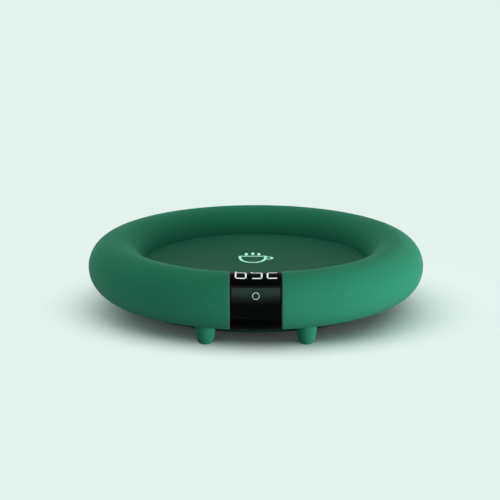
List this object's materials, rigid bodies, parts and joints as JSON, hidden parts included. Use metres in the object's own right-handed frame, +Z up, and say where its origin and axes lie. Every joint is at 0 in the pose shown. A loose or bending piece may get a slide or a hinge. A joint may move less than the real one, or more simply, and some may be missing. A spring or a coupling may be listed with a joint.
{
  "type": "electric mug warmer",
  "caption": "Round electric mug warmer: soft ring around a recessed heating plate, curved front panel with digit window and press key, power inlet at the back, stub feet.",
  "frame": {"origin": "on the table under the ring's centre", "axes": "+Z up; -Y is the front, where the panel and the key are; +X is the right-hand side seen from the front"},
  "size_m": [0.124, 0.124, 0.026],
  "materials": {
    "sleeve_silicone": "matte soft-touch silicone, deep green",
    "foot_silicone": "matte silicone, deep green",
    "plate_glass": "satin toughened glass, dark green behind",
    "panel_black": "high-gloss black, tinted",
    "key_black": "high-gloss black",
    "base_plastic": "fine-textured dark green",
    "housing_plastic": "moulded dark grey",
    "bracket_plastic": "moulded black",
    "inlet_plastic": "moulded black",
    "gasket_silicone": "matte grey silicone",
    "spreader_aluminium": "plain rolled",
    "film_polyimide": "amber film",
    "pad_felt": "pressed mineral felt",
    "carrier_steel": "pressed sheet",
    "screw_steel": "zinc plated",
    "socket_steel": "drawn, tinned",
    "sensor_epoxy": "epoxy bead",
    "fuse_body": "ceramic-coloured body",
    "board_laminate": "solder-masked laminate",
    "chip_black": "moulded package",
    "terminal_nylon": "natural nylon",
    "switch_plastic": "moulded black",
    "plunger_plastic": "moulded white",
    "digit_black": "matt black block",
    "lead_red": "silicone insulation",
    "ribbon_white": "flat white ribbon"
  },
  "bodies": {
    "warmer_body": {"ring_sleeve": "sleeve_silicone", "upper_housing": "housing_plastic", "lower_housing": "housing_plastic", "base_cover": "base_plastic", "base_screws": "screw_steel", "foot_front_left": "foot_silicone", "foot_front_right": "foot_silicone", "foot_rear_left": "foot_silicone", "foot_rear_right": "foot_silicone", "glass_plate": "plate_glass", "plate_gasket": "gasket_silicone", "heat_spreader": "spreader_aluminium", "heater_film": "film_polyimide", "insulation_pad": "pad_felt", "heater_carrier": "carrier_steel", "carrier_screws": "screw_steel", "temperature_sensor": "sensor_epoxy", "thermal_fuse": "fuse_body", "heater_leads": "lead_red", "display_lens": "panel_black", "panel_chin": "panel_black", "panel_bracket": "bracket_plastic", "bracket_screws": "screw_steel", "digit_module": "digit_black", "display_board": "board_laminate", "switch_board": "board_laminate", "tact_switch": "switch_plastic", "display_ribbon": "ribbon_white", "inlet_trim": "inlet_plastic", "usb_socket": "socket_steel", "socket_tongue": "inlet_plastic", "inlet_board": "board_laminate", "inlet_screws": "screw_steel", "inlet_leads": "lead_red", "main_board": "board_laminate", "lead_terminals": "terminal_nylon", "control_chip": "chip_black", "power_inductor": "chip_black", "power_transistors": "chip_black", "board_screws": "screw_steel"},
    "power_key": {"power_key": "key_black"},
    "switch_plunger": {"switch_plunger": "plunger_plastic"}
  },
  "joints": [
    {"name": "power_key_press", "type": "slide", "parent": "warmer_body", "child": "power_key", "axis": [0, 0.9659, -0.2588], "range_m": [0, 0.0004], "stiffness_N_per_m": 400},
    {"name": "switch_plunger_press", "type": "slide", "parent": "warmer_body", "child": "switch_plunger", "axis": [0, 0.9659, -0.2588], "range_m": [0, 0.0004]}
  ],
  "couplings": [
    {"joint": "switch_plunger_press", "follows": "power_key_press", "ratio": 1}
  ]
}
